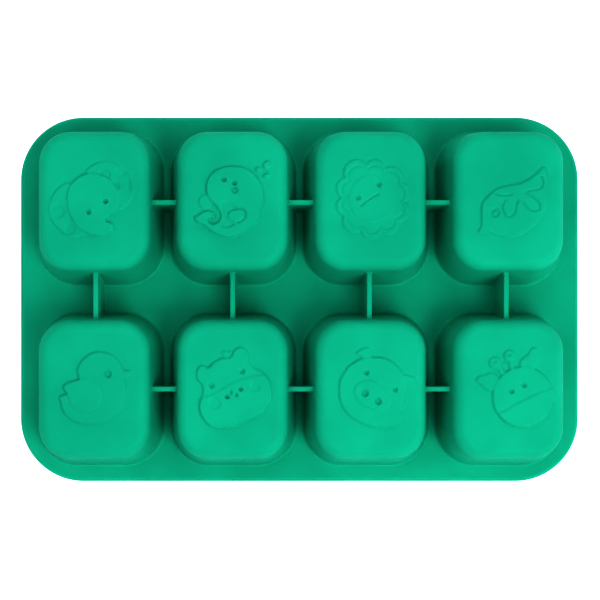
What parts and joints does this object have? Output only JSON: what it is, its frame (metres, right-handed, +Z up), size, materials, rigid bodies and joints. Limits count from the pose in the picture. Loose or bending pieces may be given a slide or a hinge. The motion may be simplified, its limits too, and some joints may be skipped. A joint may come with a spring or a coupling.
{
  "type": "silicone soap mould",
  "caption": "Flexible tray of rounded, drafted cups for casting soap bars, with an animal picture moulded into each cup floor and ribs tying the cups together.",
  "frame": {"origin": "centre of the tray in plan, on the surface that the upturned mould stands on (the pour side of the rim)", "axes": "+X along the tray's length, towards the bird and giraffe cups; +Y across it, from the duck row to the elephant row; +Z up, from the pour side to the cup floors, so the mould stands upside down as it is stored and pictured. Turn it half a turn about X to pour."},
  "size_m": [0.285, 0.186, 0.0294],
  "materials": {
    "silicone": "satin moulded silicone"
  },
  "bodies": {
    "root": {"deck": "silicone", "rim": "silicone", "cup_elephant": "silicone", "cup_whale": "silicone", "cup_lion": "silicone", "cup_bird": "silicone", "cup_duck": "silicone", "cup_hippo": "silicone", "cup_pig": "silicone", "cup_giraffe": "silicone", "picture_elephant": "silicone", "picture_whale": "silicone", "picture_lion": "silicone", "picture_bird": "silicone", "picture_duck": "silicone", "picture_hippo": "silicone", "picture_pig": "silicone", "picture_giraffe": "silicone", "rib_elephant_whale": "silicone", "rib_whale_lion": "silicone", "rib_lion_bird": "silicone", "rib_duck_hippo": "silicone", "rib_hippo_pig": "silicone", "rib_pig_giraffe": "silicone", "rib_elephant_duck": "silicone", "rib_whale_hippo": "silicone", "rib_lion_pig": "silicone", "rib_bird_giraffe": "silicone"}
  },
  "joints": []
}
